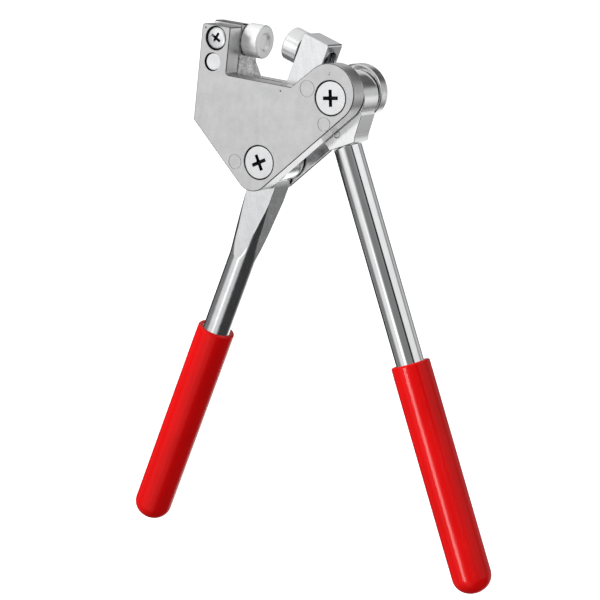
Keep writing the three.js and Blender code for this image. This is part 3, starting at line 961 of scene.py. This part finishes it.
    def pivot_screw(self, name: str, x: float, z: float, turn: float) -> None:
        """Builds one of the two large countersunk screws."""
        face, r = -HALF_DEPTH + 0.15, SCREW_HEAD_R - 0.15
        made = turned([
            (0, face), (r - 0.5, face), (r - 0.2, face + 0.06), (r, face + 0.3),
            (r, -HALF_DEPTH + 0.85), (2.7, -HALF_DEPTH + 5.6), (2.7, 6.6), (0, 6.6),
        ], sides=128)
        combine(made, cross_recess(face, 4.1, 1.7, 2.4, turn))
        shift(made, x, 0, z)
        made = self.bench.hand_over(
            soften(made, angle=28), name + "_head", ZINC, "head", "screw_steel", name,
            centre=(x * MM, 0, z * MM),
        )
        # Painted shade inside the cross recess.
        self.bench.paint(made, RECESS_SHADE, lambda c, n: c.y > face + 0.1 and
                         math.hypot(c.x - x, c.z - z) < 4.4)

    def small_screw(self) -> None:
        """Builds the screw that holds the fixed die."""
        face, r = -HALF_DEPTH + 0.5, self.die_screw_r - 0.1
        made = turned([
            (0, face - 0.25), (r * 0.45, face - 0.2), (r - 1.2, face), (r - 0.5, face + 0.25),
            (r - 0.1, face + 0.6), (r, face + 0.95), (r, -HALF_DEPTH + 2.9),
            (DIE_SHANK_R, -HALF_DEPTH + 2.9), (DIE_SHANK_R, 6.6), (0, 6.6),
        ])
        combine(made, cross_recess(face, 2.9, 1.3, 1.6, self.die_screw_turn))
        # The head sits a little off centre in its counterbore.
        x, z = self.die_screw
        shift(made, x - 0.2, 0, z + 0.1)
        made = self.bench.hand_over(
            soften(made, angle=28), "die_screw_head", ZINC, "head", "screw_steel", "die_screw",
            centre=(x * MM, 0, z * MM),
        )
        # Painted shade inside the cross recess.
        self.bench.paint(made, RECESS_SHADE, lambda c, n: c.y > face + 0.1 and
                         math.hypot(c.x - x, c.z - z) < 3.1)

    def dowel_end(self) -> None:
        """Builds the lining pin."""
        face, r = -HALF_DEPTH + 0.85, self.dowel_r
        made = turned([
            (0, face + 0.1), (r * 0.5, face + 0.05), (r - 0.5, face), (r - 0.15, face + 0.12),
            (r, face + 0.4), (r, 2.7), (r - 0.4, 3.1), (0, 3.1),
        ])
        x, z = self.dowel
        shift(made, x, 0, z)
        self.bench.hand_over(
            soften(made), "dowel_pin_end", ZINC, "head", "screw_steel", "dowel_pin",
            centre=(x * MM, 0, z * MM),
        )

    def sleeve_nut(self, name: str, x: float, z: float) -> None:
        """Builds a slotted sleeve nut, let in from the back."""
        back, r = HALF_DEPTH - 0.1, SCREW_HEAD_R
        made = turned([
            (0, -9.6), (BARREL_R, -9.6), (BARREL_R, HALF_DEPTH - 2.7), (r, HALF_DEPTH - 2.7),
            (r, HALF_DEPTH - 0.6), (r - 0.15, HALF_DEPTH - 0.25), (r - 0.5, back), (0, back),
        ])
        slot = plate(
            [(-9, -0.9), (9, -0.9), (9, 0.9), (-9, 0.9)], HALF_DEPTH - 1.35, HALF_DEPTH + 1
        )
        combine(made, [cylinder(3.0, -12, 7.2), slot])
        shift(made, x, 0, z)
        made = self.bench.hand_over(
            soften(made), name + "_sleeve", OILED, "head", "dark_steel", name,
            centre=(x * MM, 0, z * MM),
        )
        # Painted shade on the walls of the slot.
        self.bench.paint(made, RECESS_SHADE, lambda c, n: abs(c.z - z) < 0.95 and
                         HALF_DEPTH - 1.5 < c.y < back - 0.02)

    def fixed_die(self) -> None:
        """Builds the die in the ear, its striking face dished."""
        face, r = -14.2, DIE_R
        made = turned(
            [(0, -36.6), (4.2, -36.6), (4.5, -36.3), (4.5, EAR_RIGHT + GAP)]
            + [(r - 0.4, EAR_RIGHT + GAP), (r, EAR_RIGHT + GAP + 0.4)]
            + arc(r - 0.7, face - 0.7, 0.7, 0, 90, 6)
            + [(4.7, face), (4.4, face - 0.12), (3.4, face - 1.1), (0, face - 1.2)],
            Axis.ALONG, 128,
        )
        combine(made, [shift(cylinder(DIE_SHANK_R + GAP, -9, 9), self.die_screw[0])])
        shift(made, 0, LEVER_Y, DIE_Z)
        # Its matt white is painted glare.
        self.bench.hand_over(
            soften(made), "fixed_die_body", DIE_PAINTED_GLARE, "head", "chromed_die", "fixed_die"
        )

    def spring(self) -> None:
        """Builds the return spring between the web and the lever."""
        wire = self.spring_wire
        left, right = SPRING_SPAN[0] + wire, SPRING_SPAN[1] - wire
        steel = self.bench.finish_of(OILED)
        made = coil_spring(self.spring_r - wire, right - left, self.spring_turns, wire * 0.98, steel)
        moved(made, Matrix.Rotation(math.radians(90), 4, "Y"))
        shift(made, left, LEVER_Y, SPRING_Z)
        made = self.bench.hand_over(
            soften(made, angle=50), "return_spring_coil", OILED, "head", "dark_steel",
            "return_spring",
        )
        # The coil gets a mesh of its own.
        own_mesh(made)

    def build(self) -> None:
        """Builds every piece of the head."""
        self.front_cheek()
        self.rear_casting()
        self.fixed_die()
        self.small_screw()
        self.dowel_end()
        for name, x, z, turn in (
            ("jaw_pivot", 0.0, 0.0, self.jaw_screw_turn),
            ("cam_pivot", *CAM_PIVOT, self.cam_screw_turn),
        ):
            self.pivot_screw(name + "_screw", x, z, turn)
            self.sleeve_nut(name + "_barrel", x, z)
        self.spring()
        for side in ("jaw_washer_front", "jaw_washer_rear", "cam_washer_front", "cam_washer_rear"):
            self.bench.dress(side, BRASS)
        self.bench.dress("spring_guide", OILED)


@dataclass
class Grip:
    """A dipped sleeve, open at the top and closed at the end."""

    radius: float = 9.38
    length: float = GRIP_LENGTH - 0.1

    def make(self) -> bpy.types.Object:
        """Turns one sleeve, hung down from its open lip."""
        r, end = self.radius, self.length
        outside = turned(
            [(0, 0.15), (ROD_R + 0.4, 0.15), (ROD_R + 0.9, 0), (r - 1.0, 0)]
            + [(r - 1.0 + 0.93 * math.sin(a), 0.95 - 0.95 * math.cos(a))
               for a in (0.3, 0.6, 0.9, 1.2, 1.5)]
            + [(r - 0.06, 2.2), (r - 0.02, 5.0), (r, 20.0), (r, end * 0.6), (r, end - 8.5)]
            + [(r * math.cos(a) ** 0.97, end - 8.5 + 8.5 * math.sin(a) ** 0.97)
               for a in (math.pi / 2 * k / 14 for k in range(1, 14))]
            + [(0, end)],
            Axis.DOWN, 128,
        )
        return combine(outside, [cylinder(ROD_R + GAP, -1, end - 3.1, Axis.DOWN)])


@dataclass
class JawLever:
    """The left lever: jaw, flat shank and round handle in one forging, with its die."""

    bench: Bench
    grip_top: float = -93.2
    jaw_left: float = -6.5
    jaw_right: float = 7.8
    jaw_top: float = 62.55
    shank_half: float = 7.1
    die_reach: float = 8.3
    rod_end: float = 201.1

    def outline(self) -> Outline:
        """The lever's outline, upright about the jaw pivot."""
        left, right, top, half = self.jaw_left, self.jaw_right, self.jaw_top, self.shank_half
        return (
            [(-half, -70), (-half, -12)]
            + arc(0, 0, 10.4, 232, 130, 24)
            + [(left, 14), (left, top - 0.6), (left + 0.6, top), (right - 0.6, top)]
            + [(right, top - 0.6), (right, 33), (9.2, 28), (9.2, 25.5), (12.2, 18.6), (12.2, 15)]
            + arc(0, 0, 10.4, 40, -52, 24)
            + [(half, -12), (half, -70)]
        )

    def nose_place(self, t: float) -> Point:
        """Where the lug's nose sits in the lever's own frame, from open (0) to shut (1)."""
        px, pz, _ = NOSE
        turn = math.radians(GEAR_RATIO * LEVER_TILT * t)
        x = CAM_PIVOT[0] + px * math.cos(turn) + pz * math.sin(turn)
        z = CAM_PIVOT[1] - px * math.sin(turn) + pz * math.cos(turn)
        back = math.radians(LEVER_TILT * (1 - t))
        return (x * math.cos(back) - z * math.sin(back), x * math.sin(back) + z * math.cos(back))

    def forging(self) -> None:
        """Builds the lever itself."""
        y0, y1 = LEVER_Y - LEVER_THICK / 2, LEVER_Y + LEVER_THICK / 2
        bar = plate(self.outline(), y0, y1)
        cone = shift(turned([
            (0, -80), (40, -80), (40, -6), (10.0, 17), (ROD_R, 52), (ROD_R, 70), (0, 70),
        ], Axis.DOWN, 160), 0, LEVER_Y)
        combine(bar, [cone], Cut.KEEP)
        end = self.rod_end
        rod = turned([(0, 50), (ROD_R, 50), (ROD_R, end - 1.5), (ROD_R - 1.5, end), (0, end)],
                     Axis.DOWN, 160)
        combine(bar, [shift(rod, 0, LEVER_Y)], Cut.ADD)
        sweep = [self.nose_place(i / 12) for i in range(13)]
        nose = [shift(cylinder(NOSE[2] + GAP, -12, 14), x, 0, z) for x, z in sweep]
        bore = shift(turned([
            (0, self.jaw_left - 1), (3.8, self.jaw_left - 1), (3.8, 2.0), (5.0, 2.0),
            (5.0, self.jaw_right - 0.3), (5.6, self.jaw_right + 0.5), (0, self.jaw_right + 1),
        ], Axis.ALONG), 0, LEVER_Y, DIE_Z)
        combine(bar, [*nose, cylinder(BARREL_R + GAP, -12, 14), bore])
        # The lever takes the dimmer copy of the chromed forging, painted shade.
        self.bench.hand_over(
            soften(leaned(bar), 0.3, 3, 34), "jaw_lever_forging", FORGING, "left_lever",
            "chromed_lever", "jaw_lever",
        )

    def moving_die(self) -> None:
        """Builds the die on the jaw, with two fine rings turned into it by its root."""
        face, left, r = self.jaw_left - self.die_reach, self.jaw_left, DIE_R
        rings: Outline = []
        for at in (left - 1.9, left - 1.0):
            rings += [(r, at - 0.16), (r - 0.2, at - 0.06), (r - 0.2, at + 0.06), (r, at + 0.16)]
        made = turned(
            [(0, face + 1.2), (2.6, face + 1.2), (3.6, face + 0.1), (3.9, face)]
            + arc(r - 0.85, face + 0.85, 0.85, -90, 0, 6)
            + rings
            + [(r, left - GAP - 0.1), (r - 0.1, left - GAP), (3.5, left - GAP)]
            + [(3.5, 1.4), (0, 1.4)],
            Axis.ALONG, 128,
        )
        combine(made, [cylinder(2.3, -5.5, 3, Axis.ALONG)])
        shift(made, 0, LEVER_Y, DIE_Z)
        # Its die chrome carries less painted glare than the fixed die's.
        self.bench.hand_over(
            soften(leaned(made)), "moving_die_body", DIE_LESS_PAINTED_GLARE, "left_lever", "chromed_die",
            "moving_die",
        )

    def die_bolt(self) -> None:
        """Builds the socket screw in the jaw's right face."""
        made = turned([
            (0, -5.0), (2.0, -5.0), (2.0, 2.3), (4.6, 2.3), (4.6, 4.8), (4.45, 5.15), (4.1, 5.3),
            (0, 5.3),
        ], Axis.ALONG)
        combine(made, [cylinder(2.0, 3.4, 6, Axis.ALONG, 6)])
        shift(made, 0, LEVER_Y, DIE_Z)
        self.bench.hand_over(
            soften(leaned(made)), "moving_die_bolt", OILED, "left_lever", "dark_steel",
            "moving_die_screw",
        )

    def build(self) -> None:
        """Builds the lever, its die and its grip."""
        self.forging()
        self.moving_die()
        self.die_bolt()
        sleeve = shift(Grip().make(), 0, LEVER_Y, self.grip_top)
        self.bench.hand_over(
            soften(leaned(sleeve)), "left_grip_sleeve", DippedVinyl(), "left_lever", "red_vinyl",
            "left_grip",
        )


@dataclass
class CamLever:
    """The right lever: a forged lug that pushes the jaw, with a rod pinned into it."""

    bench: Bench
    grip_top: float = -126.8
    rod_offset: float = -8.3
    lug_end: float = -21.7
    knuckle_r: float = 11.9

    def in_lug(self, x: float, z: float) -> Point:
        """A point given square to the head, turned into the lug's own frame."""
        a = math.radians(ROD_LEAN)
        return (x * math.cos(a) + z * math.sin(a), -x * math.sin(a) + z * math.cos(a))

    def lug(self) -> None:
        """Builds the lug."""
        y0, y1 = LEVER_Y - LEVER_THICK / 2, LEVER_Y + LEVER_THICK / 2
        nx, nz = self.in_lug(NOSE[0], NOSE[1])
        nose = (nx, nz, NOSE[2])
        back = shared_angle(nose, (0, 0, self.knuckle_r))
        front = 2 * math.degrees(math.atan2(-nz, -nx)) - back
        made = plate(
            arc(*nose, back, front - 360, 32) + arc(0, 0, self.knuckle_r, front, back, 72), y0, y1
        )
        left, right = self.rod_offset - ROD_R - 0.1, self.rod_offset + ROD_R + 1.2
        end = self.lug_end
        socket = plate(
            [self.in_lug(11.0, -7.2), (self.knuckle_r * 0.9, self.knuckle_r * 0.4), (-3, 3),
             (nx + 1, nz - 1), (left, end + 2.2), (left + 0.35, end + 0.65), (left + 1.2, end),
             (right, end), (right + 1.0, end + 2.5)],
            y0, y1,
        )
        combine(made, [socket], Cut.ADD)
        pin = shift(cylinder(1.56, -12, 14), self.rod_offset, 0, LUG_PIN_Z)
        rod_hole = shift(cylinder(4.8, 8.4, 30, Axis.DOWN), self.rod_offset, LEVER_Y)
        ribs = shift(row_of_bars(3, 1.15, 11.0, 0.3, 0.9), right + 1.15, LEVER_Y, end + 3.4)
        combine(made, [cylinder(BARREL_R + GAP, -12, 14), rod_hole, pin, ribs])
        # The lug takes the brighter copy of the chromed forging, painted light.
        self.bench.hand_over(
            soften(swung(made), 0.35, 3, 34), "cam_lug_forging", LUG_FORGING_PAINTED_BRIGHT, "right_lever",
            "chromed_lever", "cam_lug",
        )

    def rod(self) -> None:
        """Builds the round bar."""
        start, end = -self.lug_end + GAP, -self.grip_top + GRIP_LENGTH - 3.6
        made = turned([
            (0, 8.8), (4.5, 8.8), (4.5, start), (ROD_R - 0.4, start), (ROD_R - 0.1, start + 0.15),
            (ROD_R, start + 0.45), (ROD_R, end - 1.5), (ROD_R - 1.5, end), (0, end),
        ], Axis.DOWN, 160)
        shift(made, self.rod_offset, LEVER_Y)
        combine(made, [shift(cylinder(1.8, -12, 14), self.rod_offset, 0, LUG_PIN_Z)])
        self.bench.hand_over(
            soften(swung(made)), "right_rod_bar", CHROME, "right_lever", "chromed_lever",
            "right_rod",
        )

    def build(self) -> None:
        """Builds the lug, rod and grip, and dresses the pin."""
        self.lug()
        self.rod()
        sleeve = shift(Grip().make(), self.rod_offset, LEVER_Y, self.grip_top)
        self.bench.hand_over(
            soften(swung(sleeve)), "right_grip_sleeve", DippedVinyl(), "right_lever", "red_vinyl",
            "right_grip",
        )
        self.bench.dress("lug_pin", FORGING)


# ---- studio -----------------------------------------------------------------------------------
class Card(Enum):
    """What a studio card does to the surroundings that shine in the metal."""

    BRIGHT = "ADD"
    SHADE = "MULTIPLY"


@dataclass(frozen=True)
class SoftCard:
    """A round patch of the surroundings, given from where the viewer stands, in degrees."""

    kind: Card
    turn: float
    height: float
    inner: float
    outer: float
    gain: float


@dataclass
class Studio:
    """Camera, pale floor, lights and the surroundings."""

    camera_at: tuple[float, float, float] = (440.131, -728.932, 145.538)
    right: tuple[float, float, float] = (0.84795116, 0.51866819, 0.10937157)
    down: tuple[float, float, float] = (0.21774801, -0.15271279, -0.96398372)
    forward: tuple[float, float, float] = (-0.48328525, 0.84122656, -0.24243195)
    lens: float = 108.509
    sensor: float = 36.0
    heading: float = -60.1
    base: float = 0.26
    soft_level: float = 0.39
    backdrop_level: float = 1.4
    floor_drop: float = 0.008
    floor_radius: float = 30.0
    floor_grey: float = 0.93
    floor_glow: float = 0.82
    aim: tuple[float, float, float] = (0.03, 0.0, -0.05)
    strip_height: float = 0.8
    cards: tuple = (
        SoftCard(Card.BRIGHT, -52, -12, 12, 36, 0.72),
        SoftCard(Card.BRIGHT, -62, 20, 16, 34, 0.55),
        SoftCard(Card.BRIGHT, -16, -30, 8, 25, 0.60),
        SoftCard(Card.BRIGHT, 64, 28, 24, 33, 0.64),
        SoftCard(Card.BRIGHT, 118, 4, 8, 22, 0.38),
        SoftCard(Card.BRIGHT, 120, -10, 7, 15, 0.34),
        SoftCard(Card.BRIGHT, 161, -31, 12, 26, 1.40),
        SoftCard(Card.BRIGHT, 180, 16, 8, 26, 0.34),
        SoftCard(Card.BRIGHT, 0, 90, 35, 75, 0.62),
        SoftCard(Card.SHADE, 28, 22, 4, 9, 0.05),
        SoftCard(Card.SHADE, 65, -42, 34, 50, 0.22),
        SoftCard(Card.SHADE, 145, 32, 10, 24, 0.25),
        SoftCard(Card.SHADE, -155, -15, 14, 36, 0.22),
        SoftCard(Card.SHADE, 0, -90, 24, 44, 0.35),
        SoftCard(Card.BRIGHT, -33, -12, 6, 13, 1.1),
    )

    def view(self) -> None:
        """Sets up the camera."""
        data = bpy.data.cameras.new("camera")
        data.lens, data.sensor_width, data.clip_start = self.lens, self.sensor, 0.01
        camera = bpy.data.objects.new("camera", data)
        bpy.context.scene.collection.objects.link(camera)
        turn = Matrix((self.right, [-v for v in self.down], [-v for v in self.forward])).transposed()
        place = Matrix.Translation([v * MM for v in self.camera_at])
        camera.matrix_world = place @ turn.to_4x4()
        bpy.context.scene.camera = camera

    def surroundings(self) -> None:
        """Builds the world from its base level and cards."""
        world = bpy.data.worlds.new("studio")
        bpy.context.scene.world = world
        world.use_nodes = True
        world.node_tree.nodes.clear()
        tree = NodeTree(world.node_tree)
        coords = tree.node("ShaderNodeTexCoord").outputs["Generated"]
        level: float | bpy.types.NodeSocket = self.base
        for card in self.cards:
            az, el = math.radians(self.heading + card.turn), math.radians(card.height)
            towards = (math.cos(el) * math.cos(az), math.cos(el) * math.sin(az), math.sin(el))
            dot = tree.node("ShaderNodeVectorMath", {0: coords, 1: towards}, operation="DOT_PRODUCT")
            fade = tree.node("ShaderNodeMapRange", {
                "Value": dot.outputs["Value"],
                "From Min": math.cos(math.radians(card.outer)),
                "From Max": math.cos(math.radians(card.inner)),
                "To Min": 0.0 if card.kind is Card.BRIGHT else 1.0,
                "To Max": card.gain,
            }, interpolation_type="SMOOTHSTEP")
            mixed = {0: level, 1: fade.outputs[0]}
            level = tree.node("ShaderNodeMath", mixed, operation=card.kind.value).outputs[0]
        # Matt surfaces are lit evenly, the cards only show as reflections, and the backdrop is white.
        ray = tree.node("ShaderNodeLightPath").outputs
        lit = tree.node("ShaderNodeMix", {0: ray["Is Diffuse Ray"], 2: level, 3: self.soft_level})
        seen = tree.node(
            "ShaderNodeMix", {0: ray["Is Camera Ray"], 2: lit.outputs[0], 3: self.backdrop_level}
        )
        shine = tree.node("ShaderNodeBackground", {"Strength": seen.outputs[0]})
        tree.node("ShaderNodeOutputWorld", {0: shine.outputs[0]})

    def floor(self) -> None:
        """Lays a wide pale floor, clear of the grips as they swing in."""
        bm = bmesh.new()
        bmesh.ops.create_circle(bm, cap_ends=True, segments=64, radius=self.floor_radius)
        bmesh.ops.translate(bm, vec=(0, 0, CAD_BOX[0][2] - self.floor_drop), verts=bm.verts)
        mesh = bpy.data.meshes.new("studio_floor")
        bm.to_mesh(mesh)
        bm.free()
        ground = bpy.data.objects.new("studio_floor", mesh)
        bpy.context.scene.collection.objects.link(ground)
        s = Shader("pale_floor")
        s.fill(s.surface, {
            "Base Color": (*[self.floor_grey] * 3, 1), "Roughness": 0.9,
            "Emission Color": (1, 1, 1, 1), "Emission Strength": self.floor_glow,
        })
        mesh.materials.append(s.material)
        # Its light would flatten the grips and its edge would show in the chrome.
        ground.visible_glossy = False
        ground.visible_diffuse = False
        ground.visible_shadow = False

    def lamp(
        self, name: str, spot: Point, up: float, size: float, power: float
    ) -> bpy.types.Object:
        """Hangs a square soft light that points at the tool and doesn't show itself.

        Args:
            name: its name. spot: x and y in metres. up: height in metres.
            size: side in metres. power: in watts.

        Returns:
            The light.
        """
        data = bpy.data.lights.new(name, "AREA")
        data.size, data.energy = size, power
        light = bpy.data.objects.new(name, data)
        bpy.context.scene.collection.objects.link(light)
        place = Vector((*spot, up))
        light.location = place
        light.rotation_euler = (Vector(self.aim) - place).to_track_quat("-Z", "Y").to_euler()
        light.visible_glossy = False
        light.visible_camera = False
        return light

    def strip(self, piece: bpy.types.Object) -> None:
        """Hangs a tall strip whose glint shows along one piece only."""
        light = self.lamp("strip", (-0.11, -1.18), up=-0.21, size=0.30, power=9.0)
        light.data.shape = "RECTANGLE"
        light.data.size_y = self.strip_height
        light.visible_glossy, light.visible_diffuse = True, False
        receivers = bpy.data.collections.new("strip_receivers")
        receivers.objects.link(piece)
        light.light_linking.receiver_collection = receivers

    def build(self) -> None:
        """Builds the studio but for the strip, which waits for its piece."""
        bpy.context.scene.view_settings.view_transform = "Standard"
        self.view()
        self.surroundings()
        self.floor()
        self.lamp("key", (-1.0, -1.2), up=0.6, size=0.8, power=31.0)
        self.lamp("fill", (0.36, -0.22), up=-0.08, size=0.16, power=0.36)


def main() -> None:
    """Builds the studio and the tool."""
    logging.basicConfig(level=logging.INFO, format="%(name)s: %(message)s")
    studio = Studio()
    studio.build()
    bench = Bench()
    for part in (Head(bench), JawLever(bench), CamLever(bench)):
        part.build()
        LOG.info("%s is built", type(part).__name__)
    studio.strip(bpy.data.objects["right_grip_sleeve"])


if __name__ == "__main__":
    main()
